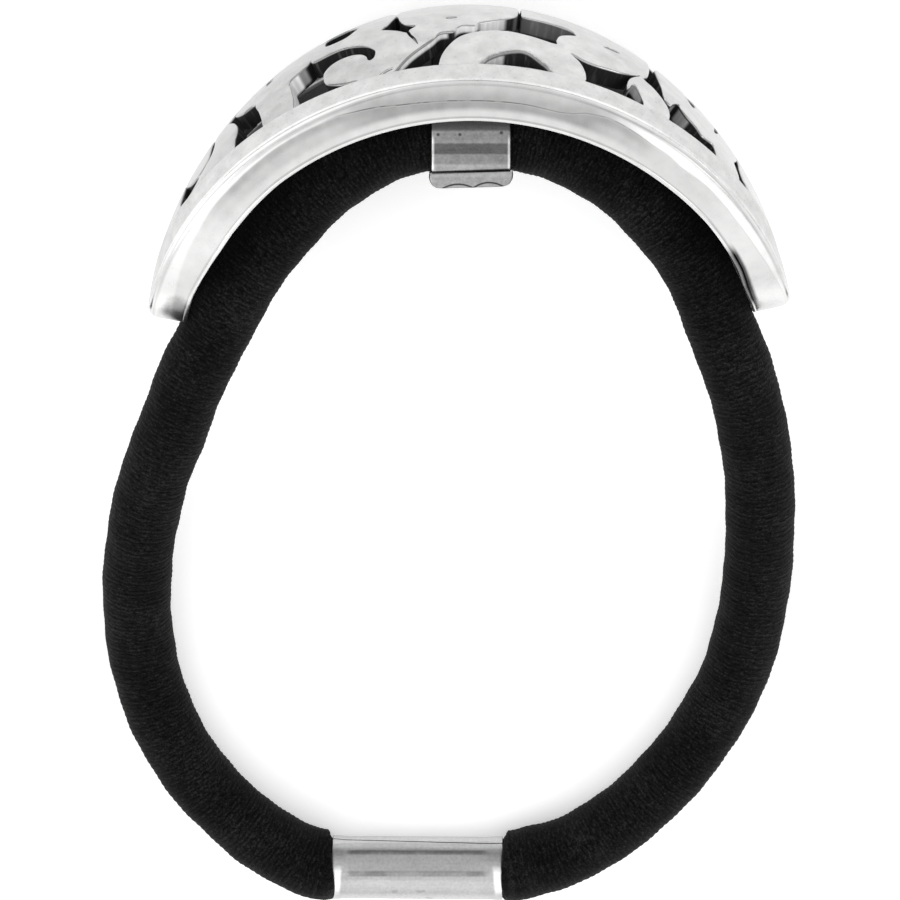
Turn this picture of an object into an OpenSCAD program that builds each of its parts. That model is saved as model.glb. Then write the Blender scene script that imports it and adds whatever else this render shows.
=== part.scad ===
// Hair tie: a domed, pierced scroll plate on a loop of covered elastic, closed by a pressed metal sleeve.
// It lies on its side. The plate stands on the middle of one long edge, and the loop comes down from
// the keeper to the surface. X runs across the loop, Y from the sleeve to the plate, Z up.

/* [Plate] */
// Bend radius of the plate, to the outer corner of its rim
bend_r = 26.1; // [25.5:0.1:27]
// How much longer the bend is than a round one
bend_oval = 1.02; // [1:0.002:1.03]
// Half of the angle that the plate spans along its bend
plate_half_angle = 77.8; // [76:0.1:79]
// Width of the plate across its bend
plate_w = 23; // [22:0.5:26]
// Squareness of the oval outline, where 2 is a plain ellipse
outline_power = 2.25; // [2:0.05:2.6]
// Depth of the rim's side wall
rim_depth = 3.1; // [2.6:0.1:3.1]
// Thickness of the rim's side wall
rim_wall = 1.6; // [1:0.1:2]

/* [Field] */
// Width of the sloping border at the middle of a long side
border_w = 2.2; // [1.6:0.1:3]
// Rise of the border from the rim's corner to the pierced field
border_rise = 1; // [0.6:0.1:1.6]
// Half of the angle that the pierced field spans
field_half_angle = 67.5; // [64:0.5:70]
// Share of that rise that the ends of the plate lose
end_drop = 0.75; // [0.5:0.05:0.9]
// Rise of the field's middle above its edge
dome_h = 3; // [1.5:0.1:3.5]
// Thickness of the scrolls
scroll_t = 1.4; // [1:0.1:2]
// Width of the bevel along the scrolls' edges
scroll_bevel = 0.3; // [0.1:0.05:0.5]
// How far the scrolls' heads stand above their bands
head_lift = 0.12; // [0.1:0.02:0.3]
// How far the medallions stand above the bands
medallion_lift = 0.16; // [0.1:0.02:0.4]

/* [Keeper] */
// Width of the keeper along the elastic
keeper_w = 6.3; // [4:0.1:9]
// Thickness of the keeper's strap
keeper_t = 0.5; // [0.4:0.05:0.8]
// Height of the bar that closes the keeper
keeper_bar_h = 1.25; // [1:0.05:1.6]
// Thickness of the bar's floor, under the elastic
keeper_floor_t = 0.65; // [0.4:0.05:0.8]
// How far the bar stands out past the strap
keeper_bar_lip = 0.2; // [0:0.05:0.4]

/* [Elastic] */
// Diameter of the covered elastic
elastic_d = 5.8; // [5:0.1:5.8]

/* [Sleeve] */
// Length of the sleeve
sleeve_l = 14.8; // [10:0.1:15]
// Outer diameter of the sleeve
sleeve_d = 5.5; // [5.2:0.1:5.7]
// Diameter of the sleeve's bore
bore_d = 4.3; // [3.8:0.1:4.6]
// Turn of the sleeve on the surface
sleeve_turn = -0.4; // [-3:0.1:3]

/* [Hidden] */

// Middle of the plate's bend, and of the sleeve
plate_x = 1.95;
plate_y = 9.8;
plate_z = plate_w / 2;
plate_turn = -1.15;
sleeve_x = -2.6;
sleeve_y = -36.9;

// Lengths along the plate are measured at this radius, half way up the dome
plan_r = bend_r + 2;
mm_per_degree = plan_r * PI / 180;
outer_u = plate_half_angle * mm_per_degree;
outer_v = plate_w / 2;
field_u = field_half_angle * mm_per_degree;
field_v = outer_v - border_w;
drop_power = 7;
// Slope at which the scrolls dive under the border past the field's edge
edge_dive = 2.4;
field_top = border_rise;
field_base = border_rise - scroll_t;

rim_steps = 64;
stroke_step = 1.5;
disc_sides = 20;
play = 0.1;
corner_r = 0.5;
elastic_r = elastic_d / 2;
elastic_sides = 12;
spans_per_point = 2;

// Round scrolls: centre, first and last angle, first and last radius, first and last width.
// u runs along the plate and v across it. Each scroll is there on both sides of the middle line.
// u, v, angle_1, angle_2, radius_1, radius_2, width_1, width_2
ROUND_SCROLLS = [
    [3.75, 10.2, 186, 270, 4.5, 3.8, 3.3, 2.6],
    [3.75, 10.2, 270, 354, 3.8, 4.6, 2.6, 3.0],
    [-9.25, 5.9, 125, 0, 2.3, 3.6, 0.9, 3.0],
    [-9.25, 5.9, 0, -100, 3.6, 3.4, 3.0, 2.7],
    [12.95, 8.9, -4, -76, 3.1, 2.9, 2.7, 1.2],
    [14.25, 7.0, -80, -190, 1.1, 1.0, 1.0, 0.5],
    [18.55, 2.3, 210, -110, 1.9, 2.5, 2.0, 2.6],
    [-23.95, 2.6, 108, -56, 3.2, 3.2, 2.8, 2.7]
];

// Straight scrolls and posts, each with its two ends and its width there
// u_1, v_1, width_1, u_2, v_2, width_2
STRAIGHT_SCROLLS = [
    [-16.05, 8.9, 3.1, -16.25, 2.6, 3.0],
    [-9.35, 2.5, 2.7, -13.05, 1.8, 2.7],
    [-2.45, 3.8, 3.5, -4.35, 8.0, 0.9],
    [17.45, 4.7, 2.0, 23.45, 4.8, 2.0],
    [24.05, 7.3, 2.9, 22.75, 4.4, 2.6],
    [28.15, 5.7, 2.6, 25.15, 2.4, 2.4]
];

// Heads of the scrolls, which are there on both sides of the middle line
// u, v, half_length, half_width
HEADS = [
    [-9.65, 7.1, 1.9, 1.9],
    [9.15, 4.75, 2.2, 1.6],
    [11.55, 3.4, 2.95, 2.95]
];

// Medallions and end leaves, which sit on the middle line
// u, half_length, half_width
MEDALLIONS = [
    [-29.85, 3.4, 3.2],
    [-25.05, 1.75, 3.9],
    [-15.25, 4.5, 3.5],
    [-7.05, 1.55, 3.5],
    [-0.6, 4.55, 4.3],
    [8.85, 5.1, 2.0],
    [15.15, 3.2, 1.5],
    [23.05, 1.25, 5.2],
    [26.75, 1.9, 3.0],
    [30.95, 3.4, 3.2]
];

// Route of the elastic from the sleeve's left mouth, round under the plate, to its right mouth
ROUTE = [
    [-11.2, -36.6, 2.9], [-13.4, -35.6, 2.9], [-17.3, -33.0, 2.9], [-21.5, -28.5, 2.9],
    [-24.2, -23.8, 2.95], [-25.7, -19.1, 3.3], [-26.3, -14.3, 4.2], [-26.2, -9.4, 5.4],
    [-25.5, -4.6, 6.9], [-24.3, 0.2, 8.3], [-22.5, 4.9, 9.6], [-20.4, 9.3, 10.7],
    [-18.0, 13.7, 11.3], [-15.9, 17.9, 11.5], [-13.1, 22.2, 11.5], [-9.0, 26.2, 11.5],
    [-3.8, 29.0, 11.5], [2.1, 29.9, 11.5], [8.0, 29.0, 11.5], [13.3, 26.4, 11.5],
    [17.5, 22.5, 11.5], [20.3, 17.9, 11.5], [22.2, 13.8, 11.3], [23.9, 9.6, 10.7],
    [25.1, 5.1, 9.6], [25.9, 0.4, 8.3], [26.2, -4.3, 6.9], [26.2, -9.1, 5.4],
    [25.7, -14.0, 4.2], [24.6, -18.8, 3.3], [22.4, -23.5, 2.95], [19.4, -27.9, 2.9],
    [15.4, -32.0, 2.9], [10.9, -35.0, 2.9], [7.9, -36.1, 2.9], [5.8, -36.7, 2.9]
];

// Half width of an oval of half length a and half width b, at the length u along it
function oval_v(u, a, b) = b * sqrt(max(0, 1 - pow(min(1, abs(u) / a), outline_power)));

// Height of the dome over the point u, v of the plate
function crown(u, v) =
    let (half = oval_v(u, field_u, field_v), along = (1 + cos(180 * u / field_u)) / 2)
    half < 0.01 ? 0 : dome_h * along * max(0, 1 - pow(v / half, 2));

// Share of the border's rise that is left at u
function rise_share(u) = 1 - end_drop * pow(min(1, abs(u) / field_u), drop_power);

// How far a scroll is sunk at u, v, which is nothing inside the field's outline
function sunk(u, v) =
    edge_dive * max(0, pow(abs(u) / field_u, outline_power) + pow(v / field_v, 2) - 1);

// Point of the bent plate over u, v, at the height h above the corner of its rim
function on_plate(u, v, h) =
    let (a = u / mm_per_degree + plate_turn, r = bend_r + crown(u, v) + h)
    [plate_x + bend_oval * r * sin(a), plate_y + r * cos(a), plate_z + v];

// Point of a scroll, which dives under the border past the field's outline
function on_field(u, v, h) =
    on_plate(u, v, h - border_rise * (1 - rise_share(u)) - sunk(u, v));

// Point of the border, from the rim's outline at k = 0 to the field's outline at k = 1
function border_uv(t, k) =
    let (c = sign(cos(t)) * pow(abs(cos(t)), 2 / outline_power), s = sin(t),
         a = outer_u + (field_u - outer_u) * k, b = outer_v + (field_v - outer_v) * k)
    [a * c, b * s];

// Section of a scroll's band: base, side and bevelled top, across the direction a
function band_section(u, v, a, w) =
    let (half = w / 2, top = max(0.05, half - scroll_bevel), side = [-sin(a), cos(a)])
    [for (p = [[-half, field_base], [half, field_base], [half, field_top - scroll_bevel],
               [top, field_top], [-top, field_top], [-half, field_top - scroll_bevel]])
        on_field(u + p[0] * side[0], v + p[0] * side[1], p[1])];

// Faces of a tube whose rings have n points each, closed at both ends
function tube_faces(rings, n) = concat(
    [[for (k = [n - 1:-1:0]) k]],
    [for (i = [0:rings - 2], k = [0:n - 1])
        [i * n + k, i * n + (k + 1) % n, (i + 1) * n + (k + 1) % n, (i + 1) * n + k]],
    [[for (k = [0:n - 1]) (rings - 1) * n + k]]);

// Solid through a list of like sections
module loft(sections) {
    n = len(sections[0]);
    polyhedron(points = [for (s = sections, p = s) p], faces = tube_faces(len(sections), n),
               convexity = 6);
}

// Band along a round scroll
module round_scroll(row, side) {
    turn = row[3] - row[2];
    length = abs(turn) * PI / 180 * (row[4] + row[5]) / 2;
    steps = max(3, ceil(length / stroke_step));
    sections = [for (i = [0:steps])
        let (k = i / steps, a = row[2] + turn * k, r = row[4] + (row[5] - row[4]) * k,
             w = row[6] + (row[7] - row[6]) * k)
        band_section(row[0] + r * cos(a), side * (row[1] + r * sin(a)),
                     side * (a + 90 * sign(turn)), w)];
    loft(sections);
}

// Band along a straight scroll
module straight_scroll(row, side) {
    du = row[3] - row[0];
    dv = side * (row[4] - row[1]);
    steps = max(2, ceil(norm([du, dv]) / stroke_step));
    sections = [for (i = [0:steps])
        let (k = i / steps)
        band_section(row[0] + du * k, side * row[1] + dv * k, atan2(dv, du),
                     row[2] + (row[5] - row[2]) * k)];
    loft(sections);
}

// Oval head or medallion with a bevelled edge
module oval_head(u, v, a, b, lift) {
    top = field_top + lift;
    hull()
        loft([for (ring = [[0, top - scroll_t], [0, top - scroll_bevel], [scroll_bevel, top],
                           [min(a, b) / 2, top]])
            [for (i = [0:disc_sides - 1])
                let (t = i * 360 / disc_sides)
                on_field(u + (a - ring[0]) * cos(t), v + (b - ring[0]) * sin(t), ring[1])]]);
}

// Rim: side wall and sloping border, as one ring round the plate
module rim() {
    wall_k = rim_wall / border_w;
    lip = 0.35;
    profile = [[0, lip - rim_depth], [0, -lip / 2], [0.1, lip / 4], [0.5, field_top * 0.6],
               [1, field_top], [1.06, field_base], [wall_k, field_base - 0.5],
               [wall_k, -rim_depth], [lip / border_w, -rim_depth]];
    n = len(profile);
    points = [for (i = [0:rim_steps - 1], p = profile)
        let (uv = border_uv(i * 360 / rim_steps, p[0]), share = rise_share(uv[0]),
             h = p[1] > 0 ? p[1] * share : p[1])
        on_plate(uv[0], uv[1], h)];
    faces = [for (i = [0:rim_steps - 1], k = [0:n - 1])
        let (j = (i + 1) % rim_steps, m = (k + 1) % n)
        [i * n + k, j * n + k, j * n + m, i * n + m]];
    polyhedron(points = points, faces = faces, convexity = 10);
}

// Keeper: a strap round the elastic, soldered to the back of the middle medallion
module keeper() {
    half = elastic_r + play;
    bar_w = keeper_w + 2 * keeper_bar_lip;
    bar_d = 2 * (half + keeper_t + keeper_bar_lip);
    // The floor clears the elastic, which bends inside the keeper
    seat_y = max([for (p = ROUTE) p[1]]);
    floor_y = seat_y - half - play - pow(keeper_w / 2, 2) / (2 * (seat_y - plate_y));
    base_y = floor_y - keeper_floor_t;
    top_y = plate_y + bend_r + field_top + dome_h - scroll_t;
    for (side = [-1, 1])
        translate([plate_x - keeper_w / 2, base_y + keeper_floor_t / 2,
                   plate_z + (side > 0 ? half : -half - keeper_t)])
            cube([keeper_w, top_y - base_y - keeper_floor_t / 2, keeper_t]);
    difference() {
        translate([plate_x, base_y + keeper_bar_h, plate_z])
            rotate([90, 0, 0])
                linear_extrude(keeper_bar_h)
                    offset(corner_r, $fn = 16)
                        square([bar_w - 2 * corner_r, bar_d - 2 * corner_r], center = true);
        translate([plate_x - bar_w, floor_y, plate_z - half])
            cube([2 * bar_w, keeper_bar_h, 2 * half]);
    }
}

module scroll_plate() {
    color("silver")
        union() {
            rim();
            keeper();
            for (side = [1, -1]) {
                for (row = ROUND_SCROLLS)
                    round_scroll(row, side);
                for (row = STRAIGHT_SCROLLS)
                    straight_scroll(row, side);
                for (row = HEADS)
                    oval_head(row[0], side * row[1], row[2], row[3], head_lift);
            }
            for (row = MEDALLIONS)
                oval_head(row[0], 0, row[1], row[2], medallion_lift);
        }
}

// Point of a smooth curve through b and c, with its neighbours a and d
function curve_point(a, b, c, d, k) =
    0.5 * (2 * b + (c - a) * k + (2 * a - 5 * b + 4 * c - d) * k * k
           + (3 * b - a - 3 * c + d) * k * k * k);

// Ring of points of radius r round p, square to the direction d
function ring_at(p, d, r) =
    let (side = cross([0, 0, 1], d), s = side / norm(side), up = cross(d, s) / norm(d))
    [for (k = [0:elastic_sides - 1])
        let (t = k * 360 / elastic_sides) p + r * (cos(t) * s - sin(t) * up)];

// Rings that neck the elastic down into a mouth of the sleeve; turn is 1 at the left mouth
function neck(turn) =
    let (a = sleeve_turn, d = [cos(a), sin(a), 0],
         mouth = [sleeve_x, sleeve_y, sleeve_d / 2] - turn * sleeve_l / 2 * d,
         rows = [[sleeve_l / 2 - play, bore_d / 2 - play], [-0.05, bore_d / 2 - play],
                 [-0.25, elastic_r - 0.35]])
    [for (i = turn > 0 ? [0, 1, 2] : [2, 1, 0])
        ring_at(mouth + turn * rows[i][0] * d, -d, rows[i][1])];

module elastic_loop() {
    last = len(ROUTE) - 1;
    path = [for (i = [0:last - 1], j = [0:spans_per_point - 1])
        curve_point(ROUTE[max(0, i - 1)], ROUTE[i], ROUTE[i + 1], ROUTE[min(last, i + 2)],
                    j / spans_per_point)];
    route = concat(path, [ROUTE[last]]);
    n = len(route);
    body = [for (i = [0:n - 1])
        ring_at(route[i], route[min(n - 1, i + 1)] - route[max(0, i - 1)], elastic_r)];
    color("#191919")
        loft(concat(neck(1), body, neck(-1)));
}

module sleeve() {
    seam_w = 0.3;
    seam_depth = 0.25;
    seam_angle = 54;
    flat_in = 0.15;
    color("lightgray")
        translate([sleeve_x, sleeve_y, sleeve_d / 2])
            rotate([0, 90, sleeve_turn])
                difference() {
                    cylinder(d = sleeve_d, h = sleeve_l, center = true, $fn = 64);
                    cylinder(d = bore_d, h = sleeve_l + 2, center = true, $fn = 64);
                    // The closed seam of the rolled sheet
                    rotate([0, 0, 180 - seam_angle])
                        translate([sleeve_d / 2 - seam_depth, -seam_w / 2, -sleeve_l])
                            cube([1, seam_w, 2 * sleeve_l]);
                    // The face that the press flattened
                    translate([-sleeve_d / 2 - 1 + flat_in, -sleeve_d, 1.2 - sleeve_l / 2])
                        cube([1, 2 * sleeve_d, sleeve_l - 2.4]);
                }
}

scroll_plate();
elastic_loop();
sleeve();
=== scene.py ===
import math

import bpy
import numpy as np
from mathutils import Matrix, Vector


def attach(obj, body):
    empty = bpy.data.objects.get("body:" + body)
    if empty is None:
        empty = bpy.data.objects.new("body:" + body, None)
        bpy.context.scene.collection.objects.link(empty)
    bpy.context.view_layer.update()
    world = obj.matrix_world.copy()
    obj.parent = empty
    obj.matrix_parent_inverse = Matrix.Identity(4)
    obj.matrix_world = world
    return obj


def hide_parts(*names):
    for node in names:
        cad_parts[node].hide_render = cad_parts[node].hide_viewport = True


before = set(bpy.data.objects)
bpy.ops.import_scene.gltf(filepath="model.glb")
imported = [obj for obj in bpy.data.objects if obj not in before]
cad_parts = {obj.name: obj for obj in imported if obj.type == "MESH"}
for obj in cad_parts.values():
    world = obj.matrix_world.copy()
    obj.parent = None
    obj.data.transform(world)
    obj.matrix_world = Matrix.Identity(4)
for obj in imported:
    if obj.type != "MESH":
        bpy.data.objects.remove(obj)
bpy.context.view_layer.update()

# Camera
# It looks down on the lying tie from 74 degrees above the floor, from just past the plate's side. The lens
# is a long one, as for a small product. Places are in metres for the camera, the floor and the lights.
target = Vector((0.00027, 0.00337, 0.0115))
tilt = math.radians(15.6)
azimuth = math.radians(-1.0)
distance = 0.3
back = Vector((-math.sin(azimuth) * math.sin(tilt), math.sin(tilt), math.cos(azimuth) * math.cos(tilt)))
back.normalize()
right = Vector((0, 1, 0)).cross(back).normalized()
up = back.cross(right)
lens = bpy.data.cameras.new("camera")
lens.sensor_width = 36
lens.lens = 146.4
lens.clip_start = 0.01
camera = bpy.data.objects.new("camera", lens)
bpy.context.scene.collection.objects.link(camera)
turned = Matrix((right, up, back)).transposed().to_4x4()
camera.matrix_world = Matrix.Translation(target + distance * back) @ turned
bpy.context.scene.camera = camera

# Floor and light
# A matt white sweep. The light comes from a pale sky that is brightest overhead, and from two large soft
# boxes.


class Socket:
    """An output of a material's nodes. Arithmetic on it adds Math nodes."""

    def __init__(self, tree, out=None):
        self.tree = tree
        self.out = out

    def make(self, kind, settings=None, sockets=None, output=0):
        """Adds a node, sets it up, gives its sockets values or links, and returns one of its outputs."""
        node = self.tree.nodes.new(kind)
        for name, value in (settings or {}).items():
            if name == "stops":
                ramp = node.color_ramp.elements
                ramp[0].position, ramp[1].position = value[0][0], value[-1][0]
                for place, _ in value[1:-1]:
                    ramp.new(place)
                for element, (_, shade) in zip(ramp, value):
                    element.color = (shade, shade, shade, 1)
            else:
                setattr(node, name, value)
        for key, value in (sockets or {}).items():
            if isinstance(value, Socket):
                self.tree.links.new(value.out, node.inputs[key])
            else:
                node.inputs[key].default_value = value
        return Socket(self.tree, node.outputs[output])

    def math(self, operation, *values, clamp=False):
        settings = {"operation": operation, "use_clamp": clamp}
        return self.make("ShaderNodeMath", settings, dict(enumerate(values)))

    def __add__(self, other):
        return self.math("ADD", self, other)

    __radd__ = __add__

    def __sub__(self, other):
        return self.math("SUBTRACT", self, other)

    def __rsub__(self, other):
        return self.math("SUBTRACT", other, self)

    def __mul__(self, other):
        return self.math("MULTIPLY", self, other)

    __rmul__ = __mul__

    def __truediv__(self, other):
        return self.math("DIVIDE", self, other)

    def between(self, low, high):
        """0 below low and 1 above high, with a smooth step between them."""
        settings = {"interpolation_type": "SMOOTHSTEP"}
        return self.make("ShaderNodeMapRange", settings, {0: self, 1: low, 2: high})

    def within(self, low, low_end, high, high_end):
        """1 from low_end to high, and 0 below low and above high_end, with smooth steps between."""
        return self.between(low, low_end) * (1 - self.between(high, high_end))

    def distance(self, place=0):
        """How far the value is from place."""
        return self.math("ABSOLUTE", self - place)

    def line(self, place, half_width):
        """1 where the value is at place, and 0 further than half_width from it."""
        return 1 - self.distance(place).between(half_width * 0.35, half_width)

    def noise(self, scale, detail):
        """Cloudy variation round 0.5 at the point that this socket gives."""
        return self.make("ShaderNodeTexNoise", {}, {0: self, "Scale": scale, "Detail": detail})

    def attribute(self, name):
        """A number that the mesh has at its corner points."""
        return self.make("ShaderNodeAttribute", {"attribute_name": name}, output=2)

    def axis(self, number):
        """The place's X, Y or Z in mm."""
        return self.make("ShaderNodeSeparateXYZ", {}, {0: self}, output=number) * 1000

    def colour(self, blue=1):
        """The grey of this brightness. With less blue it is warmer."""
        return self.make("ShaderNodeCombineColor", {}, {0: self, 1: self, 2: self * blue})

    def bump(self, strength, depth):
        """The surface's normal, roughened by this socket as its height. The depth is in metres."""
        return self.make("ShaderNodeBump", {}, {"Strength": strength, "Distance": depth, "Height": self})


def new_material(name):
    """A material, its shader node, and the socket of its Object coordinates, to add nodes with."""
    material = bpy.data.materials.new(name)
    material.use_nodes = True
    shader = material.node_tree.nodes["Principled BSDF"]
    return material, shader, Socket(material.node_tree).make("ShaderNodeTexCoord", output=3)


def feed(shader, **sockets):
    """Links or sets the shader's sockets, which are named with underscores for spaces."""
    for key, value in sockets.items():
        socket = shader.inputs[key.replace("_", " ")]
        if isinstance(value, Socket):
            value.tree.links.new(value.out, socket)
        else:
            socket.default_value = value


bpy.ops.object.select_all(action="DESELECT")
bpy.ops.mesh.primitive_plane_add(size=6)
floor = bpy.context.object
floor.name = "floor"
paper, paper_shader, _ = new_material("white_paper")
feed(paper_shader, Base_Color=(0.88, 0.88, 0.88, 1), Roughness=0.95, Emission_Color=(1, 1, 1, 1),
     Emission_Strength=0.36)
floor.data.materials.append(paper)

world = bpy.data.worlds.new("studio")
bpy.context.scene.world = world
world.use_nodes = True
sky = Socket(world.node_tree)
direction = sky.make("ShaderNodeTexCoord", output=0)
height = sky.make("ShaderNodeSeparateXYZ", {}, {0: direction}, output=2)
brightness = sky.make("ShaderNodeValToRGB", {"stops": [(0.0, 0.42), (0.35, 0.6), (0.7, 0.85), (0.93, 1.3)]},
                      {0: height})
front = sky.make("ShaderNodeSeparateXYZ", {}, {0: direction}, output=1) * -1
brightness = brightness + front.between(0.28, 0.7) * 0.5
world.node_tree.nodes["Background"].inputs["Strength"].default_value = 1.0
world.node_tree.links.new(brightness.out, world.node_tree.nodes["Background"].inputs["Color"])

# Name, place, size, and power
SOFT_BOXES = [("left_box", (-0.5, -0.15, 0.45), 0.35, 0.8), ("right_box", (0.55, 0.1, 0.4), 0.3, 0.6)]
for name, place, size, power in SOFT_BOXES:
    lamp = bpy.data.lights.new(name, "AREA")
    lamp.size = size
    lamp.energy = power
    box = bpy.data.objects.new(name, lamp)
    bpy.context.scene.collection.objects.link(box)
    box.location = place
    box.rotation_euler = (target - Vector(place)).to_track_quat("-Z", "Y").to_euler()
bpy.context.scene.view_settings.view_transform = "Standard"

# Rim of the plate
# Cast metal, silver plated: a rolled corner, a sloping border that carries the scrolls, and a side wall
# with a fine line at the top and a lip at the bottom. It is cast in one piece with the scrolls.
# Sizes are in mm from here on. The plate is drawn flat and then bent: u runs along it and v across it, and
# h is the height above the corner of its rim.
MM = 0.001
bend_r = 26.1
bend_oval = 1.02
outline_power = 2.25
plate_x, plate_y, plate_z = 1.95, 9.8, 11.5
plate_turn = math.radians(-1.15)
plan_r = bend_r + 2
outer_u, outer_v = plan_r * math.radians(77.8), 11.5
field_u, field_v = plan_r * math.radians(67.5), 9.3
border_w = outer_v - field_v
border_rise = 1.0
# Share of that rise that the left and the right end lose
end_drop, drop_power = (0.5, 0.66), 7
dome_h = 3.0
rim_steps = 256
# The tips' corners are rounded from here along the outline, by this much, and ever more towards the end
tip_start, tip_round, tip_power = 0.955, 0.8, 1.5
# The section keeps its sizes near the outline, and further in it follows the border's width
near_to, near_fade = 0.15, 0.9
# The lip starts at this depth. How much further in it reaches, at places along the plate
lip_start = 1.7
LIP_EXTRA = [(-38, 0.0), (-34, 0.02), (-31, 0.2), (-28, 0.3), (-24, 0.2), (-19, 0.0), (20, 0.0), (26, -0.1),
             (32, -0.05), (34, 0.12), (35.6, 0.12), (36.8, 0.05), (38, 0.0)]


def crown(u, v):
    """Height of the dome over the points u, v of the plate, in mm."""
    half = field_v * np.sqrt(np.maximum(1e-4, 1 - np.minimum(1, abs(u) / field_u) ** outline_power))
    along = (1 + np.cos(np.pi * np.clip(u / field_u, -1, 1))) / 2
    return dome_h * along * np.maximum(0, 1 - (v / half) ** 2)


def rise_share(u):
    """Share of the border's rise that is left at u."""
    return 1 - np.where(u < 0, *end_drop) * np.minimum(1, abs(u) / field_u) ** drop_power


def on_plate(u, v, h):
    """Points of the bent plate over u, v, at the height h above the corner of its rim, in metres."""
    a = u / plan_r + plate_turn
    r = bend_r + crown(u, v) + h
    return MM * np.stack([plate_x + bend_oval * r * np.sin(a), plate_y + r * np.cos(a), plate_z + v], -1)


def face_outwards():
    """Points the faces of the object that is being worked on outwards."""
    bpy.ops.object.mode_set(mode="EDIT")
    bpy.ops.mesh.select_all(action="SELECT")
    bpy.ops.mesh.normals_make_consistent(inside=False)
    bpy.ops.object.mode_set(mode="OBJECT")


def finish_piece(name, material, angle, node, flat_faces=False):
    """Gives the object that is being worked on its name, shading, material and place in the model."""
    piece = bpy.context.object
    piece.name = name
    piece.data.name = name
    bpy.ops.object.shade_smooth_by_angle(angle=math.radians(angle))
    if flat_faces:
        flat = piece.modifiers.new("flat faces", "WEIGHTED_NORMAL")
        flat.keep_sharp = True
        bpy.ops.object.modifier_apply(modifier=flat.name)
    piece.data.materials.clear()
    piece.data.materials.append(material)
    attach(piece, "root")
    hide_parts(node)


def put_attribute(mesh, name, values):
    """A number at each corner point of a mesh, for its material."""
    mesh.attributes.new(name, "FLOAT", "POINT").data.foreach_set("value", values.astype(np.float32))


def place_vertices(mesh, points):
    """Moves all corner points of a mesh to the given places."""
    mesh.vertices.foreach_set("co", np.ascontiguousarray(points, dtype=np.float32).ravel())
    mesh.update()


def curve(a, b, c, d, k):
    """The point at the share k of the way from b to c, on a smooth curve through a, b, c and d."""
    return 0.5 * (2 * b + (c - a) * k + (2 * a - 5 * b + 4 * c - d) * k ** 2
                  + (3 * b - a - 3 * c + d) * k ** 3)


def smooth_row(points, spans):
    """A smooth closed row of points through the given ones, with so many spans to each."""
    points = np.array(points, float)
    a, b, c, d = (np.roll(points, shift, axis=0) for shift in (1, 0, -1, -2))
    rows = [curve(a, b, c, d, k) for k in np.arange(spans) / spans]
    return np.stack(rows, 1).reshape(-1, points.shape[1])


def oval_shape(turns):
    """An oval with squarish ends, as parts of its half length and half width, at those turns round it."""
    c = np.cos(turns)
    return np.stack([np.sign(c) * abs(c) ** (2 / outline_power), np.sin(turns)], -1)


def ring_mesh(steps, section):
    """A closed ring with so many steps of that section. Its corner points are still to be placed."""
    bpy.ops.object.select_all(action="DESELECT")
    bpy.ops.mesh.primitive_torus_add(major_segments=steps, minor_segments=len(section), major_radius=1,
                                     minor_radius=0.2)
    return bpy.context.object


# Section of the rim: distance in from the outline, and height above the corner
RIM_SECTION = [
    (0.50, -3.12), (0.22, -3.12), (0.06, -3.04), (0.00, -2.93), (0.02, -2.84), (0.05, -2.78), (0.03, -2.70),
    (0.01, -2.35), (0.00, -1.95), (0.00, -1.60), (-0.01, -1.25), (-0.01, -0.85), (0.00, -0.45),
    (0.04, -0.30), (0.06, -0.24), (0.03, -0.17), (0.00, -0.07), (0.02, 0.05), (0.12, 0.12), (0.30, 0.17),
    (0.70, 0.36), (1.30, 0.65), (1.90, 0.93), (2.10, 0.99), (2.22, 0.97), (2.29, 0.85), (2.31, 0.30),
    (2.28, -0.40), (1.90, -0.60), (1.62, -0.95), (1.60, -1.80), (1.60, -2.85), (1.50, -3.05), (1.30, -3.12),
    (0.90, -3.12)]

section = smooth_row(RIM_SECTION, 2)
inset, drop = section[:, 0], section[:, 1]
rim = ring_mesh(rim_steps, section)
oval = oval_shape(np.arange(rim_steps) * 2 * np.pi / rim_steps)
outline = oval * (outer_u, outer_v)
inner = oval * (field_u, field_v)
run = np.roll(outline, -1, axis=0) - np.roll(outline, 1, axis=0)
inward = np.stack([-run[:, 1], run[:, 0]], -1) / np.linalg.norm(run, axis=1)[:, None]
share = np.clip(inset / border_w, 0, 1.1)
near = np.clip(1 - (inset - near_to) / near_fade, 0, 1)
near = (near * near * (3 - 2 * near))[None, :, None]
tip = np.clip((abs(oval[:, 0]) - tip_start) / (1 - tip_start), 0, 1) ** tip_power
roll = np.clip(drop + tip_round, 0, tip_round - 0.01) / tip_round
rounded = tip[:, None] * tip_round * (1 - np.sqrt(1 - roll ** 2))[None, :] * (inset < 1.0)
by_normal = outline[:, None] + inward[:, None] * (inset[None, :, None] + rounded[..., None])
by_share = outline[:, None] + (inner - outline)[:, None] * share[None, :, None]
plan = near * by_normal + (1 - near) * by_share
u, v = plan[..., 0], plan[..., 1]
lip_extra = np.interp(outline[:, 0], *zip(*LIP_EXTRA))
lip_share = np.clip(-drop - lip_start, 0, 1)
h = np.where(drop > 0, drop * rise_share(u), drop) - lip_extra[:, None] * lip_share[None, :]
place_vertices(rim.data, on_plate(u, v, h).reshape(-1, 3))
put_attribute(rim.data, "drop", np.tile(drop, rim_steps))
put_attribute(rim.data, "inset", np.tile(inset, rim_steps))
put_attribute(rim.data, "along", np.repeat(outline[:, 0], len(section)))
face_outwards()

silver_rim, shader, coords = new_material("silver_rim")
drop_in, inset_in, along_in = (coords.attribute(name) for name in ("drop", "inset", "along"))
cloud, grain, soft = coords.noise(900, 5), coords.noise(5200, 3), coords.noise(260, 2)
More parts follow.
